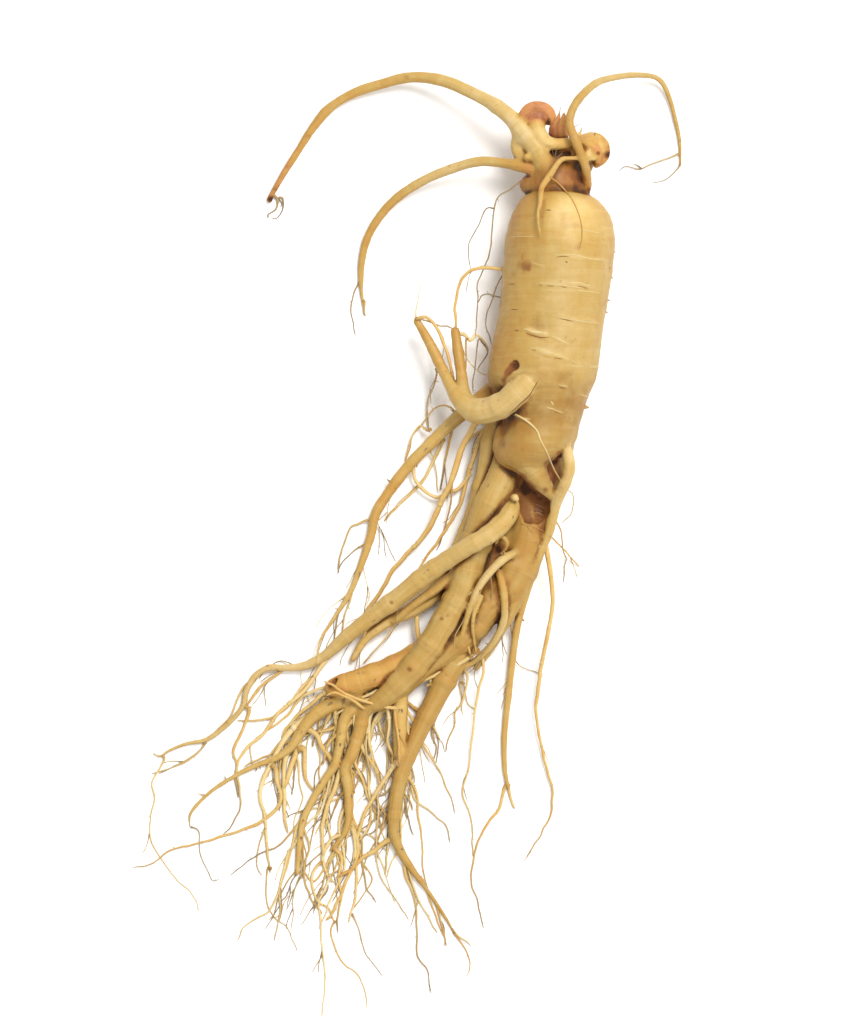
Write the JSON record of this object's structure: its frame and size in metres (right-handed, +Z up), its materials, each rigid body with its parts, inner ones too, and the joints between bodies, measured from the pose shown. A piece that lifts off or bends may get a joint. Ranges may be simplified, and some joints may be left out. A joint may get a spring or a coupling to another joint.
{
  "type": "ginseng root",
  "caption": "Fresh ginseng root lying flat: stout pale tan main root with a knobbly neck, curling arms, crossing legs and a beard of fine rootlets",
  "frame": {"origin": "on the resting flat, on the surface under the middle of the main root", "axes": "+X to the root's right as seen from above, +Y along the main root towards the neck, +Z up off the surface"},
  "size_m": [0.1657, 0.2854, 0.0313],
  "materials": {
    "root_skin": "washed fresh root skin, pale tan with a soft waxy sheen, darker in creases and towards the fine tips"
  },
  "bodies": {
    "root": {"ginseng_root": "root_skin"}
  },
  "joints": []
}
